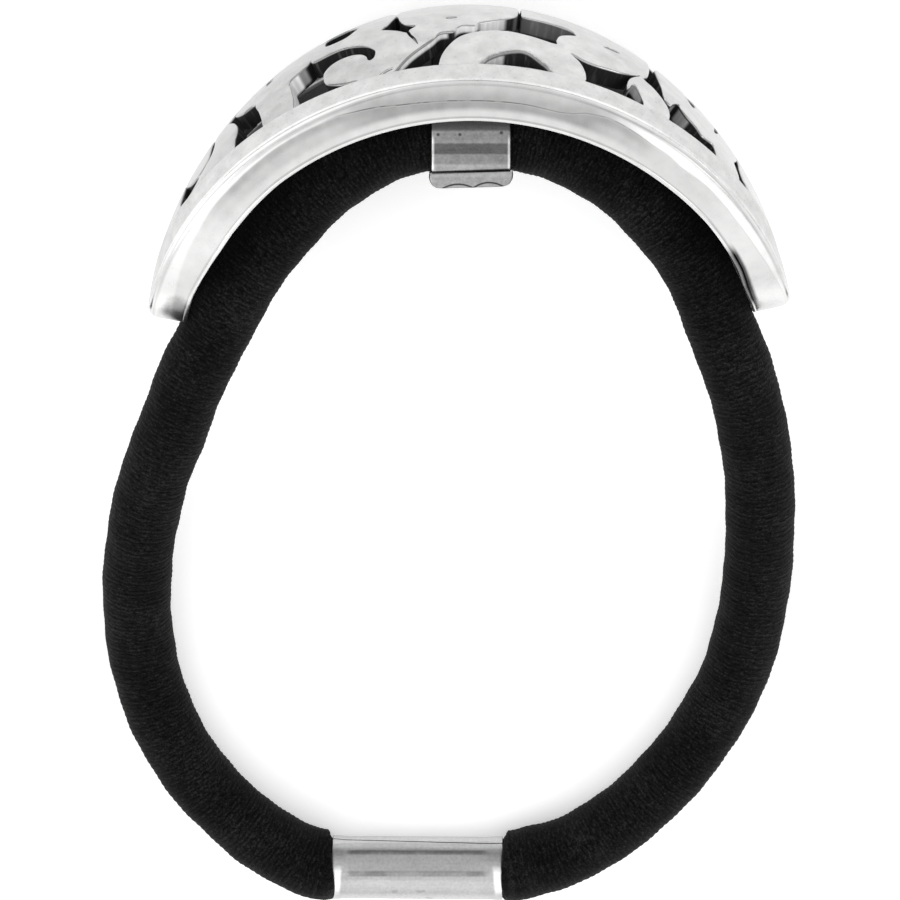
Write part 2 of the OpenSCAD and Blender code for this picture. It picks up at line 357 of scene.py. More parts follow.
# Painted reflection: the wall is painted brighter above a wandering line than below it. Place along the
# plate, and the line's depth
REFLECTION_EDGE = [(-38, 2.0), (-31, 1.4), (-25, 0.85), (-17, 0.6), (-11, 0.68), (-8.5, 0.95), (-5.5, 1.28),
               (-2.5, 1.44), (0, 1.52), (5.6, 1.5), (8.2, 1.52), (9.4, 1.38), (10.4, 1.02), (12.4, 0.72),
               (14.0, 0.78), (16.8, 1.05), (18.5, 1.05), (20.1, 1.2), (23.0, 1.05), (26.8, 1.1), (31.0, 1.0),
               (36.0, 0.45)]
ramp_length, ramp_depth = 80, 3
stops = [(0.5 + u / ramp_length, depth / ramp_depth) for u, depth in REFLECTION_EDGE]
ramp_place = along_in / ramp_length + 0.5
reflection_edge_depth = coords.make("ShaderNodeValToRGB", {"stops": stops}, {0: ramp_place}) * ramp_depth
over = drop_in + reflection_edge_depth + soft * 0.16 - 0.08
wall = (1 - drop_in.between(-0.05, 0.1)) * (1 - inset_in.between(0.3, 0.5))
# Along that line a dark crease is painted in the middle, as part of the painted reflection. It fades to both
# ends
line_fade = along_in.between(-13, -8) * (1 - along_in.between(15, 18) * 0.7)
line_fade = line_fade * (1 - along_in.between(3, 8) * 0.35) * (0.4 + 0.35 * cloud.between(0.36, 0.52))
reflection_crease = over.line(0, 0.07) * line_fade * wall
# Painted shade in the fine groove under the rolled corner, and a painted highlight on the corner itself
edge_drop = drop_in + 0.16 * (1 - along_in.between(-12, -3))
fine_line_shade = edge_drop.line(-0.24, 0.1) * wall * (0.12 + 0.2 * along_in.within(9, 13, 15, 19))
# Painted highlight on the rolled corner
corner = (1 - inset_in.between(0.25, 0.45)) * edge_drop.between(-0.06, 0.02)
corner = corner * (along_in.between(-35, -29) * (1 - along_in.between(-7, 0) * 0.7)
                   + along_in.within(4, 8, 15, 19) * 0.7)
# Painted reflection: towards the ends the wall is bright above that line. In the middle it is painted duller
# on both sides
tip_reflection = along_in.between(22, 31) + 1 - along_in.between(-29, -21)
middle = along_in.within(-13, -7, 10, 14)
bright_reflection = over.between(-0.15, 0.2) * edge_drop.between(-0.34, -0.46)
bright_reflection = bright_reflection * (along_in.between(12, 17) + 1 - along_in.between(-17, -9))
dim_reflection = (1 - over.between(-0.15, 0.05)) * (1 - 0.5 * (1 - middle) * (1 - over.between(-0.85, -0.3)))
dim_reflection = dim_reflection * drop_in.between(-2.45, -1.9) * along_in.within(-30, -21, 14, 19)
# Painted reflection: a darker band just above the line in the middle
above = middle * over.between(-0.02, 0.06) * (0.21 - 0.14 * over.between(0.1, 1.2))
# A painted highlight on the rounded lip, and a painted shade line just above it
lip_highlight = 1 - drop_in.between(-2.98, -2.84)
lip_shade_line = drop_in.line(-2.76, 0.1)
# Painted shade: patches on the left tip, the tip's end, and the lip of the right tip, next to the elastic
x_in, y_in = coords.axis(0), coords.axis(1)
off_x, off_y = x_in + 21.5, (y_in - 15.9) * 0.8
tip_shade = 1 - (off_x * off_x + off_y * off_y + cloud * 1.2).between(0.9, 2.9)
tip_shade = tip_shade + (1 - y_in.between(14.6, 16.2)) * (1 - along_in.between(-20, -10)) * 0.3
tip_shade = tip_shade + (1 - drop_in.between(-2.6, -2.3)) * along_in.within(28.5, 30.5, 35.6, 37) * 1.6
# The wall's grey: the painted reflections, the lip's painted highlight and painted shade, with cloudy
# variation
tone = 0.57 + bright_reflection * 0.28 - dim_reflection * (0.2 + 0.06 * middle) - above + (lip_highlight + tip_reflection * (1 - bright_reflection)) * 0.15
tone = tone - lip_shade_line * 0.13 + (cloud - 0.5) * 0.16 - tip_shade * 0.4
# Painted shade: the edge towards the scrolls and the hidden inside of the wall are painted dark, as are the
# crease and the fine line
recess_shade = inset_in.between(2.27, 2.32)
painted_shade = recess_shade + drop_in.between(-0.3, -0.9) * inset_in.between(1.3, 1.7) + reflection_crease + fine_line_shade
painted_shade = painted_shade.math("MINIMUM", painted_shade, 1)
border_tone = 0.56 + (cloud - 0.5) * 0.3 - grain.between(0.55, 0.75) * 0.12
grey = (wall * tone + (1 - wall) * border_tone + corner * 0.2) * (1 - painted_shade * 0.95)
# Silver is a trace warmer than grey
silver_blue = 0.993
border = drop_in.between(0.15, 0.3) * (1 - recess_shade)
roughness = 0.24 + border * 0.1 + cloud * 0.08 + painted_shade * 0.3
bump = (grain * border + cloud * 0.9 + soft * 0.6).bump(0.3, 0.00002)
feed(shader, Base_Color=grey.colour(silver_blue), Metallic=1 - painted_shade * 0.75, Roughness=roughness, Normal=bump)
finish_piece("rim", silver_rim, 50, "scroll_plate")

# Scrolls of the plate
# The field of scrolls, leaves and medallions is cast with the rim, with the gaps cut through. Their tops are
# polished, their edges are slightly rounded, and their sides are dark: an antique patina with painted shade,
# and painted light on some.
scroll_t = 1.4
field_top = 1.0
# The field reaches past its outline by this factor, and dives under the border at this slope there
field_overlap, edge_dive = 1.045, 2.4
cut_above = 0.5
bend_step = 0.7
edge_angles = np.radians([0, 30, 60, 90])

# Gaps in the half of the plate that faces the camera: roundness of the upper edge, depth, and outline. The
# other half has their mirror images. The shallow ones are dents.
GAPS = [
    (0.13, 2.0, [
        (-5.6, 9.8), (-5.2, 9.0), (-4.2, 7.95), (-3.2, 7.1), (-2.4, 6.4), (-1.75, 5.6), (-0.8, 5.5),
        (-0.45, 4.95), (0.05, 4.65), (0.75, 4.7), (1.15, 4.2), (2.0, 3.75), (3.0, 3.05), (3.6, 2.4),
        (3.95, 1.7), (4.02, 0.3), (4.12, -0.4), (4.22, 0.3), (4.32, 1.85), (5.5, 2.0), (7.2, 1.95),
        (8.1, 2.2), (8.4, 2.8), (7.7, 3.5), (7.15, 4.1), (6.95, 4.9), (6.9, 5.6), (5.0, 5.35), (3.2, 5.15),
        (1.5, 5.4), (0.3, 5.85), (-0.5, 6.4), (-1.2, 7.3), (-1.7, 8.2), (-2.0, 9.15), (-2.1, 9.8)]),
    (0.5, 2.0, [
        (1.6, 9.9), (1.8, 9.1), (2.3, 8.65), (3.1, 8.2), (3.9, 7.9), (4.5, 7.8), (5.2, 8.05), (5.9, 8.55),
        (6.5, 9.0), (6.7, 9.9)]),
    (0.13, 2.0, [
        (-14.0, 10.0), (-14.1, 8.5), (-13.9, 7.3), (-13.9, 5.5), (-13.9, 4.4), (-13.0, 3.9), (-12.4, 3.6),
        (-12.05, 3.2), (-11.9, 3.0), (-11.7, 3.5), (-11.0, 3.7), (-10.0, 3.75), (-9.0, 4.0), (-8.0, 4.6),
        (-7.2, 5.3), (-6.8, 6.0), (-6.8, 6.6), (-6.95, 7.0), (-7.2, 7.2), (-7.4, 7.0), (-7.45, 6.6),
        (-7.8, 6.1), (-8.5, 5.7), (-9.5, 5.55), (-10.4, 5.8), (-11.0, 6.4), (-11.15, 7.2), (-11.0, 7.9),
        (-10.3, 8.5), (-9.4, 8.9), (-8.5, 9.15), (-9.0, 10.0)]),
    (0.10, 2.0, [
        (-4.15, 4.8), (-4.0, 4.4), (-3.5, 3.9), (-3.9, 3.6), (-4.4, 3.0), (-4.7, 2.0), (-4.8, 1.0),
        (-4.95, 0.5), (-5.2, 1.2), (-5.6, 2.3), (-6.1, 3.0), (-5.6, 3.5), (-4.9, 4.1), (-4.4, 4.6)]),
    (0.04, 0.5, [
        (-3.45, 6.75), (-3.8, 6.0), (-4.1, 5.3), (-4.25, 4.6), (-4.05, 4.6), (-3.9, 5.2), (-3.6, 5.9)]),
    (0.04, 0.4, [(-6.85, 9.3), (-6.3, 8.98), (-5.65, 8.8), (-5.6, 8.95), (-6.25, 9.15), (-6.75, 9.45)]),
    (0.12, 2.0, [
        (-16.7, 10.5), (-17.05, 8.5), (-17.0, 7.0), (-17.05, 5.5), (-17.25, 4.0), (-17.25, 3.3), (-17.8, 2.8),
        (-18.5, 2.4), (-19.0, 1.7), (-19.4, 0.6), (-19.7, -0.3), (-20.3, -0.3), (-20.0, 1.0), (-19.6, 2.3),
        (-19.3, 4.0), (-19.4, 5.2), (-19.75, 6.2), (-20.0, 7.5), (-20.1, 9.0), (-20.1, 10.5)]),
    (0.10, 2.0, [
        (-26.9, 1.0), (-27.3, 3.5), (-27.0, 5.0), (-26.0, 5.9), (-25.0, 5.8), (-24.0, 5.0), (-23.2, 4.5),
        (-22.5, 3.7), (-22.15, 2.5), (-22.1, 1.0), (-22.2, -0.5), (-22.6, -0.5), (-22.6, 1.0), (-22.65, 2.3),
        (-22.9, 3.4), (-23.5, 4.3), (-24.2, 4.5), (-25.0, 4.1), (-25.6, 3.3), (-26.0, 2.2), (-26.4, 1.0),
        (-26.7, 0.1)]),
    (0.06, 0.3, [(-26.1, 5.7), (-26.35, 7.0), (-26.7, 8.6), (-26.45, 8.6), (-26.1, 7.0), (-25.9, 5.7)]),
    (0.12, 2.0, [
        (9.75, 9.9), (9.75, 8.7), (9.5, 7.8), (9.0, 7.0), (8.2, 6.3), (9.2, 6.6), (10.2, 6.6), (11.2, 6.3),
        (12.2, 5.9), (13.0, 5.3), (13.85, 4.45), (13.4, 5.3), (13.1, 6.0), (13.0, 6.8), (13.1, 7.5),
        (13.3, 7.2), (13.5, 6.5), (13.9, 6.8), (14.4, 7.5), (14.75, 8.35), (14.6, 9.9)]),
    (0.13, 2.0, [
        (17.25, 9.8), (17.2, 8.1), (17.1, 7.2), (16.75, 6.4), (16.0, 5.6), (15.2, 5.0), (14.25, 4.55),
        (14.55, 3.6), (14.65, 2.5), (14.7, 1.2), (14.75, -0.3), (15.2, -0.3), (15.35, 1.2), (15.6, 2.5),
        (15.9, 3.6), (16.1, 4.6), (16.4, 5.5), (16.95, 5.75), (17.2, 5.0), (17.6, 4.2), (18.0, 4.7),
        (18.6, 5.2), (19.4, 5.45), (20.0, 5.8), (20.4, 6.1), (21.0, 5.8), (21.6, 5.55), (22.0, 6.2),
        (22.15, 7.2), (22.0, 9.5)]),
    (0.13, 2.0, [
        (25.05, 8.5), (25.1, 6.3), (24.9, 5.3), (24.4, 4.0), (24.3, 3.3), (24.6, 2.0), (24.85, 0.7),
        (24.95, 0.0), (25.1, 1.0), (25.1, 3.0), (25.6, 4.5), (26.2, 5.2), (26.6, 6.5), (26.4, 9.0)])]
# Gaps across the plate's middle line, and dents that are there on one side alone: the same, not mirrored
MIDDLE_GAPS = [
    (0.12, 2.0, [
        (-10.6, 0.0), (-10.5, 1.3), (-9.8, 1.75), (-9.0, 1.75), (-8.5, 1.3), (-7.9, 0.0), (-8.5, -1.3),
        (-9.0, -1.75), (-9.8, -1.75), (-10.5, -1.3)]),
    (0.06, 0.6, [(-16.1, -0.6), (-16.05, 0.5), (-15.8, 0.75), (-15.5, 0.5), (-15.4, -0.6), (-15.75, -0.9)]),
    (0.10, 2.0, [
        (19.05, 1.4), (18.65, 0.5), (18.3, -1.0), (18.35, -2.5), (18.9, -4.0), (19.5, -2.5), (19.6, -1.0),
        (19.35, 0.6)]),
    (0.08, 2.0, [(21.7, 1.8), (21.75, 0.5), (22.0, -1.5), (22.45, -1.5), (22.15, 0.5)]),
    (0.08, 0.10, [(-1.3, 3.2), (-1.0, 3.38), (-0.6, 3.3), (-0.45, 3.12), (-0.75, 3.0), (-1.15, 3.02)]),
    (0.05, 0.12, [(10.6, 2.75), (10.95, 2.2), (11.5, 2.0), (12.0, 2.2), (11.7, 2.55), (11.2, 2.75)])]


def on_field(u, v, h):
    """Points of the scrolls, which dive under the border past the field's outline."""
    past = np.maximum(0, (abs(u) / field_u) ** outline_power + (v / field_v) ** 2 - 1)
    return on_plate(u, v, h - border_rise * (1 - rise_share(u)) - edge_dive * past)


def flat_places(mesh):
    """The places of a mesh's corner points, a row for each."""
    places = np.zeros(len(mesh.vertices) * 3)
    mesh.vertices.foreach_get("co", places)
    return places.reshape(-1, 3)


def stack_rings(points, rings):
    """A solid through rings of one smooth outline: each has a height, and how far it is widened there."""
    points = smooth_row(points, 4)
    run = np.roll(points, -1, axis=0) - np.roll(points, 1, axis=0)
    if (points[:, 0] * run[:, 1]).sum() < 0:
        points, run = points[::-1], -run[::-1]
    outward = np.stack([run[:, 1], -run[:, 0]], -1) / (np.linalg.norm(run, axis=1)[:, None] + 1e-9)
    count = len(points)
    bpy.ops.object.select_all(action="DESELECT")
    bpy.ops.mesh.primitive_circle_add(vertices=count, radius=1, fill_type="NGON")
    solid = bpy.context.object
    bpy.ops.object.mode_set(mode="EDIT")
    bpy.ops.mesh.select_all(action="SELECT")
    for _ in rings[1:]:
        bpy.ops.mesh.extrude_region_move(TRANSFORM_OT_translate={"value": (0, 0, 1)})
    bpy.ops.object.mode_set(mode="OBJECT")
    for vertex in solid.data.vertices:
        i = round(math.atan2(vertex.co.y, vertex.co.x) / (2 * math.pi) * count) % count
        height, wider = rings[round(vertex.co.z)]
        vertex.co = (*(points[i] + wider * outward[i]), height)
    face_outwards()
    return solid


def cutter(edge, depth, points):
    """A solid that cuts a gap of that depth with a round upper edge. A deep one narrows a little."""
    rings = [(field_top - depth, -0.02 if depth > 1 else 0.0)]
    rings += [(field_top - edge + edge * math.sin(a), edge - edge * math.cos(a)) for a in edge_angles]
    return stack_rings(points, rings + [(field_top + cut_above, edge)])


def combine(first, others, operation):
    """Joins or cuts a solid with several others by a boolean, and deletes those."""
    group = bpy.data.collections.new("others")
    for other in others:
        group.objects.link(other)
    bpy.ops.object.select_all(action="DESELECT")
    bpy.context.view_layer.objects.active = first
    first.select_set(True)
    boolean = first.modifiers.new("combine", "BOOLEAN")
    boolean.operation = operation
    boolean.operand_type = "COLLECTION"
    boolean.collection = group
    boolean.solver = "EXACT"
    bpy.ops.object.modifier_apply(modifier=boolean.name)
    for other in others:
        bpy.data.objects.remove(other)
    bpy.data.collections.remove(group)


oval = oval_shape(np.arange(0, 2 * np.pi, np.radians(6))) * (field_u, field_v)
scrolls = stack_rings(field_overlap * oval, [(field_top - scroll_t, 0), (field_top, 0)])
cutters = [cutter(*row) for row in GAPS + MIDDLE_GAPS]
for edge, depth, points in GAPS:
    cutters.append(cutter(edge, depth, [(u, -v) for u, v in points]))
combine(scrolls, cutters, "DIFFERENCE")

# The flat field is divided finely, so that it can be bent to the plate's dome
bpy.ops.object.mode_set(mode="EDIT")
bpy.ops.mesh.select_mode(type="FACE")
bpy.ops.mesh.select_all(action="SELECT")
bpy.ops.mesh.quads_convert_to_tris(quad_method="BEAUTY", ngon_method="BEAUTY")
for direction, reach in (((1, 0, 0), 34.5), ((0, 1, 0), 11.5)):
    for place in np.arange(-reach, reach, bend_step):
        bpy.ops.mesh.select_all(action="SELECT")
        bpy.ops.mesh.bisect(plane_co=[place * part for part in direction], plane_no=direction)
bpy.ops.mesh.select_all(action="SELECT")
bpy.ops.mesh.remove_doubles(threshold=0.002)
bpy.ops.object.mode_set(mode="OBJECT")
u, v, h = flat_places(scrolls.data).T
put_attribute(scrolls.data, "below", field_top - h)
put_attribute(scrolls.data, "flat_u", u)
put_attribute(scrolls.data, "flat_v", abs(v))
place_vertices(scrolls.data, on_field(u, v, h))
face_outwards()

# Painted light on the sides of some gaps: from u to u, from v to v, from depth to depth, and brightness
LIT_SIDES = [
    (-5.4, -1.2, 5.4, 9.6, 0.14, 0.55, 0.8), (-0.6, 1.1, 4.0, 6.4, 0.02, 0.6, 0.9),
    (1.2, 3.5, 3.0, 4.6, 0.03, 1.3, 0.75), (3.7, 8.2, 1.5, 2.6, 0.1, 1.3, 0.1),
    (-14.4, -13.1, 3.4, 9.0, 0.0, 1.3, 0.9), (-13.3, -12.4, 3.4, 5.0, 0.1, 1.2, 0.3),
    (1.3, 3.1, 7.9, 9.9, 0.15, 1.0, 0.5),
    (16.8, 19.0, 4.5, 5.6, 0.2, 1.2, 0.25), (13.3, 14.5, 6.4, 8.0, 0.12, 0.8, 0.4)]
silver_scrolls, shader, coords = new_material("silver_scrolls")
below, flat_u, flat_v = (coords.attribute(name) for name in ("below", "flat_u", "flat_v"))
cloud, grain = coords.noise(700, 5), coords.noise(4200, 3)
# Casting streaks run down the sides
streak_place = coords.make("ShaderNodeCombineXYZ", {}, {0: flat_u * 3.2, 1: flat_v * 3.2, 2: below * 0.3})
streaks = streak_place.noise(1, 3)
# The sides are dark from just under their edge down: partly an antique patina, partly painted shade
deep = (below + (cloud - 0.5) * 0.08).between(0.07, 0.2)
lit = 0
for u_low, u_high, v_low, v_high, low, high, brightness in LIT_SIDES:
    patch = flat_u.within(u_low - 0.15, u_low + 0.15, u_high - 0.15, u_high + 0.15)
    patch = patch * flat_v.within(v_low - 0.2, v_low + 0.2, v_high - 0.2, v_high + 0.2)
    patch = patch * below.within(low, low + 0.1, high - 0.15, high + 0.1)
    lit = lit + patch * brightness
side_grey = 0.008 + streaks.between(0.5, 0.75) * 0.05 + lit * (0.65 + streaks * 0.6)
# The tops are darker towards the left
darker_left = 1 - coords.axis(0).between(-14, 6)
top_grey = 0.54 - darker_left * 0.12 + (cloud - 0.5) * 0.34 - grain.between(0.58, 0.78) * 0.12
tops, sides = top_grey.colour(silver_blue), side_grey.colour()
colour = coords.make("ShaderNodeMix", {"data_type": "RGBA"}, {0: deep, 6: tops, 7: sides}, output=2)
feed(shader, Base_Color=colour, Metallic=1 - deep, Roughness=0.17 + cloud * 0.12 + deep * 0.4,
     Normal=(cloud + grain * 0.4).bump(0.3, 0.00003), Specular_IOR_Level=0.15)
finish_piece("scrolls", silver_scrolls, 35, "scroll_plate", flat_faces=True)

# Keeper
# A nickel-plated strap soldered to the back of the middle medallion. Its two legs pass the elastic, and a
# pressed bar with two scalloped marks closes them.
keeper_w, keeper_t = 6.3, 0.5
keeper_floor_t, keeper_bar_lip = 0.65, 0.2
# The elastic passes with this much room. Its middle is at seat_y there
elastic_r = 2.9
play = 0.1
seat_y = 29.9
keeper_half = elastic_r + play
floor_y = seat_y - keeper_half - play - (keeper_w / 2) ** 2 / (2 * (seat_y - plate_y))
base_y = floor_y - keeper_floor_t
top_y = plate_y + bend_r + border_rise + dome_h - scroll_t
# The pressed legs are slightly wavy
wave_height, wave_rate = 0.05, 2.3
leg_edge = 0.14

legs = []
for side in (1, -1):
    bpy.ops.object.select_all(action="DESELECT")
    bpy.ops.mesh.primitive_grid_add(x_subdivisions=12, y_subdivisions=48, size=2)
    leg = bpy.context.object
    for vertex in leg.data.vertices:
        x, k = vertex.co.x, (vertex.co.y + 1) / 2
        y = base_y + 0.5 * keeper_floor_t + k * (top_y - base_y - 0.5 * keeper_floor_t)
        swell = wave_height * math.sin((y - base_y - 1.2) * wave_rate) - 0.02
        z = plate_z + side * (keeper_half + keeper_t / 2 + swell)
        vertex.co = (plate_x + x * keeper_w / 2, y, z)
    wall = leg.modifiers.new("wall", "SOLIDIFY")
    wall.thickness = keeper_t
    wall.offset = 0
    bpy.ops.object.modifier_apply(modifier=wall.name)
    edge = leg.modifiers.new("edge", "BEVEL")
    edge.width = leg_edge
    edge.segments = 3
    edge.limit_method = "ANGLE"
    edge.angle_limit = math.radians(60)
    bpy.ops.object.modifier_apply(modifier=edge.name)
    legs.append(leg)

# Outline of the bar from the side: across from the keeper's middle, and up from the bar's underside
BAR_OUTLINE = [
    (-3.15, 1.32), (-3.30, 1.20), (-3.33, 0.80), (-3.18, 0.38), (-2.90, 0.12), (-2.50, 0.0), (-1.0, 0.03),
    (0.2, 0.06), (1.5, 0.10), (2.40, 0.14), (2.88, 0.26), (3.15, 0.50), (3.33, 0.9), (3.32, 1.42),
    (3.18, 1.56), (1.6, 1.50), (0.0, 1.44), (-1.6, 1.38)]
# Scalloped marks: across from the middle, height of the arc, and its radius
SCALLOPS = [(-1.0, 0.38, 2.35), (1.45, 0.52, 2.0)]
# Pits: across from the middle, and place along Y
PITS = [(-2.6, 30.24), (-0.88, 30.24), (2.4, 30.4)]
bar_half = keeper_half + keeper_t + keeper_bar_lip
bar_edge = 0.22
rings = [(-bar_half + bar_edge - bar_edge * math.cos(a), -bar_edge + bar_edge * math.sin(a))
         for a in edge_angles]
bar = stack_rings(BAR_OUTLINE, rings + [(-height, wider) for height, wider in reversed(rings)])
for vertex in bar.data.vertices:
    vertex.co = (plate_x + vertex.co.x, base_y + vertex.co.y, plate_z + vertex.co.z)
# The elastic's opening is cut through the bar, past both its ends and its top
bpy.ops.object.select_all(action="DESELECT")
bpy.ops.mesh.primitive_cube_add(size=1)
slot_cutter = bpy.context.object
for vertex in slot_cutter.data.vertices:
    vertex.co = (plate_x + vertex.co.x * 4 * keeper_w, floor_y + (vertex.co.y + 0.5) * 3,
                 plate_z + vertex.co.z * 2 * keeper_half)
combine(bar, [slot_cutter], "DIFFERENCE")
combine(bar, legs, "UNION")
for vertex in bar.data.vertices:
    vertex.co *= MM

nickel, shader, coords = new_material("dull_nickel")
drawn = coords.make("ShaderNodeMapping", {}, {0: coords, "Scale": (120, 2600, 900)})
streaks, cloud, grain = drawn.noise(1, 4), coords.noise(1900, 5), coords.noise(5500, 2)
x_in, y_in, z_in = coords.axis(0) - plate_x, coords.axis(1), coords.axis(2) - plate_z
# Painted reflection bands across the strap, darkest at the top with the rim's painted shadow: place along Y,
# and brightness
REFLECTION_BANDS = [(25.5, 0.31), (27.25, 0.32), (27.4, 0.37), (27.75, 0.34), (27.95, 0.24), (28.6, 0.23),
         (28.73, 0.10), (29.46, 0.105), (29.6, 0.22), (30.46, 0.23), (30.66, 0.09), (31.0, 0.055),
         (32.5, 0.04)]
band_low, band_high = REFLECTION_BANDS[0][0], REFLECTION_BANDS[-1][0]
stops = [((y - band_low) / (band_high - band_low), grey) for y, grey in REFLECTION_BANDS]
band_place = (y_in + cloud * 0.16 - 0.08 - band_low) / (band_high - band_low)
tone = coords.make("ShaderNodeValToRGB", {"stops": stops}, {0: band_place})
# Painted highlights on the strap's edges, its pits, and the marks of the tool that closed it: a line, and the
# scallops
edge_highlight = x_in.distance().between(2.85, 3.0) * y_in.within(27.2, 27.6, 29.6, 30.4)
pits = 0
for pit_x, pit_y in PITS:
    off_x, off_y = x_in - pit_x, y_in - pit_y
    pits = pits + (1 - (off_x * off_x + off_y * off_y).between(0.005, 0.03)) * 0.7
marks = (y_in - x_in * 0.038).line(base_y + 1.46, 0.075) * (0.5 + 0.4 * streaks.between(0.4, 0.55))
for across, rise, radius in SCALLOPS:
    off_x, off_y = x_in - across, y_in - (base_y + rise - radius)
    apart = off_x.math("SQRT", off_x * off_x + off_y * off_y)
    marks = marks + apart.line(radius, 0.1) * 0.85
marks = marks.math("MINIMUM", marks, 1) * z_in.distance().between(keeper_half + 0.2, keeper_half + 0.4)
grey = tone * (0.1 + streaks * 0.5 + cloud * 0.7 + grain * 0.6) + edge_highlight * 0.4
grey = grey * (1 - pits) * (1 - marks)
feed(shader, Base_Color=grey.colour(), Metallic=1.0, Roughness=0.3 + cloud * 0.15,
     Normal=(streaks + cloud * 0.5).bump(0.3, 0.00003))
finish_piece("keeper", nickel, 35, "scroll_plate", flat_faces=True)

# Elastic
# A round rubber core, wound with black yarn whose ribs run across it and break into short slanted stitches.
# Its two ends are pushed into the sleeve.
sleeve_l, sleeve_d, bore_d = 14.8, 5.5, 4.3
sleeve_x, sleeve_y = -2.6, -36.9
sleeve_turn = math.radians(-0.4)
# The two ends reach this far into the sleeve
pushed_in = 5.0
rib_pitch = 0.53
rib_height = 0.06
rings_per_rib = 4
stitch_columns = 22
elastic_sides = 66
# Its middle from the sleeve's left mouth round to the right one
ROUTE = [
    (-11.1, -36.82, 2.9), (-13.4, -35.9, 2.9), (-17.3, -33.0, 2.9), (-21.5, -28.5, 2.9),
    (-24.2, -23.8, 2.95), (-25.7, -19.1, 3.3), (-26.3, -14.3, 4.2), (-26.2, -9.4, 5.4),
    (-25.5, -4.6, 6.9), (-24.3, 0.2, 8.3), (-22.5, 4.9, 9.6), (-20.8, 9.4, 10.7),
    (-18.5, 13.9, 11.3), (-16.3, 18.0, 11.5), (-13.1, 22.2, 11.5), (-9.0, 26.2, 11.5),
    (-3.8, 29.0, 11.5), (2.1, 29.9, 11.5), (8.0, 29.0, 11.5), (13.3, 26.4, 11.5),
    (17.5, 22.5, 11.5), (20.62, 18.05, 11.5), (22.25, 13.8, 11.3), (23.9, 9.6, 10.7),
    (25.1, 5.1, 9.6), (25.9, 0.4, 8.3), (26.2, -4.3, 6.9), (26.2, -9.1, 5.4),
    (25.7, -14.0, 4.2), (24.6, -18.8, 3.3), (22.4, -23.5, 2.95), (19.4, -27.9, 2.9),
    (15.4, -32.0, 2.9), (10.9, -35.1, 2.9), (7.9, -36.35, 2.9), (5.9, -36.9, 2.9)]

sleeve_way = np.array([math.cos(sleeve_turn), math.sin(sleeve_turn), 0])
sleeve_middle = np.array([sleeve_x, sleeve_y, sleeve_d / 2])
left_mouth = sleeve_middle - sleeve_l / 2 * sleeve_way
right_mouth = sleeve_middle + sleeve_l / 2 * sleeve_way
knots = np.vstack([[left_mouth + pushed_in * sleeve_way, left_mouth], ROUTE,
                   [right_mouth, right_mouth - pushed_in * sleeve_way]])
knots = np.vstack([2 * knots[0] - knots[1], knots, 2 * knots[-1] - knots[-2]])
k = np.linspace(0, 1, 60, endpoint=False)[:, None]
spans = zip(knots, knots[1:], knots[2:], knots[3:])
dense = np.vstack([curve(*corners, k) for corners in spans] + [knots[-2]])
length = np.concatenate([[0], np.cumsum(np.linalg.norm(np.diff(dense, axis=0), axis=1))])
ring_count = round(length[-1] / (rib_pitch / rings_per_rib))
s = np.linspace(0, length[-1], ring_count + 1)
line = np.stack([np.interp(s, length, dense[:, axis]) for axis in range(3)], -1)
way = np.gradient(line, axis=0)
way /= np.linalg.norm(way, axis=1)[:, None]
side_way = np.cross([0, 0, 1], way)
side_way /= np.linalg.norm(side_way, axis=1)[:, None]
up_way = np.cross(way, side_way)
# Its radius, by how far outside the sleeve's mouth it is. Just outside, it also swells towards its bend's
# inner side
end_r = bore_d / 2 - play
RADIUS = [(-9, end_r), (-0.1, end_r), (0.0, 2.5), (0.3, 2.95), (0.8, 3.1), (1.6, 3.1), (6.0, 2.98),
          (12.0, elastic_r)]
from_mouth = np.minimum(s, length[-1] - s) - pushed_in
thick = np.interp(from_mouth, *zip(*RADIUS))
swell = 0.3 * np.interp(from_mouth, [0, 0.6, 3, 8], [0, 1, 1, 0])

bpy.ops.object.select_all(action="DESELECT")
bpy.ops.mesh.primitive_grid_add(x_subdivisions=ring_count, y_subdivisions=elastic_sides, size=2)
elastic = bpy.context.object
flat = flat_places(elastic.data)
i = np.rint((flat[:, 0] + 1) / 2 * ring_count).astype(int)
q = (flat[:, 1] + 1) / 2 % 1
turn = 2 * np.pi * q
# Each rib is broken into columns of stitches. They slant, and sines of the column's and the rib's numbers
# make them differ a little in place and height.
column = q * stitch_columns
slant = abs((column % 1) - 0.5) * 2
row = np.floor(s[i] / rib_pitch)
jitter = 0.10 * np.sin(17.3 * np.floor(column)) + 0.06 * np.sin(2.9 * np.floor(column) + 0.31 * row)
wave = 0.5 + 0.5 * np.cos(2 * np.pi * (s[i] / rib_pitch + 0.3 * slant + jitter))
uneven = 0.5 + 0.5 * np.sin(12.9898 * row + 78.233 * np.floor(column))
relief = wave * (0.6 + 0.4 * uneven) * (1 - 0.4 * slant ** 4)
sag = 0.03 * np.sin(s[i] * 0.9 + 3 * np.sin(turn)) + 0.02 * np.sin(s[i] * 2.3 + 2 * np.sin(turn))
radius = thick[i] + rib_height * (relief - 0.75) + sag * np.clip(from_mouth[i] / 3, 0, 1)
